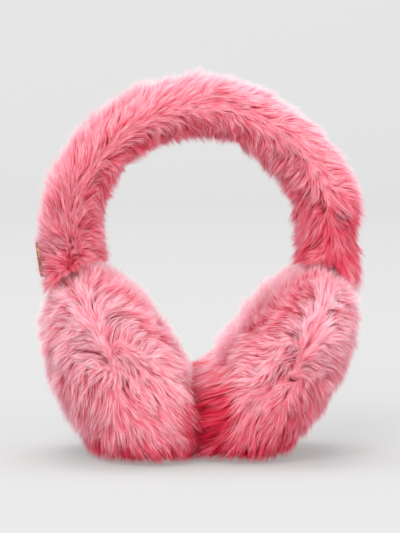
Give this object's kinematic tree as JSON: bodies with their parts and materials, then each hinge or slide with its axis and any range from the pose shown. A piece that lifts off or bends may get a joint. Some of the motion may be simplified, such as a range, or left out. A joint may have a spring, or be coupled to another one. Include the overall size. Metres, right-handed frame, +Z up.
{
  "type": "fur earmuffs",
  "caption": "Fur earmuffs: an arched headband in a thick fur sleeve with a deep round fur pad at each end, standing on the rims of the pads, and an oval metal badge low on one side.",
  "frame": {"origin": "centre of the footprint on the surface that the pads stand on, midway between the widest points of the headband", "axes": "+Z up through the crown of the headband, -Y towards the front, +X to the right as seen from the front"},
  "size_m": [0.1752, 0.129, 0.2035],
  "materials": {
    "headband_fur": "long soft rose-pink fur, paler at the tips",
    "pad_fur": "long soft rose-pink fur, paler at the tips",
    "badge_metal": "aged satin brass, plain"
  },
  "bodies": {
    "root": {"headband_outer_fur": "headband_fur", "headband_inner_fur": "headband_fur", "pad_left_outer": "pad_fur", "pad_left_cushion": "pad_fur", "pad_right_outer": "pad_fur", "pad_right_cushion": "pad_fur", "badge": "badge_metal"}
  },
  "joints": []
}
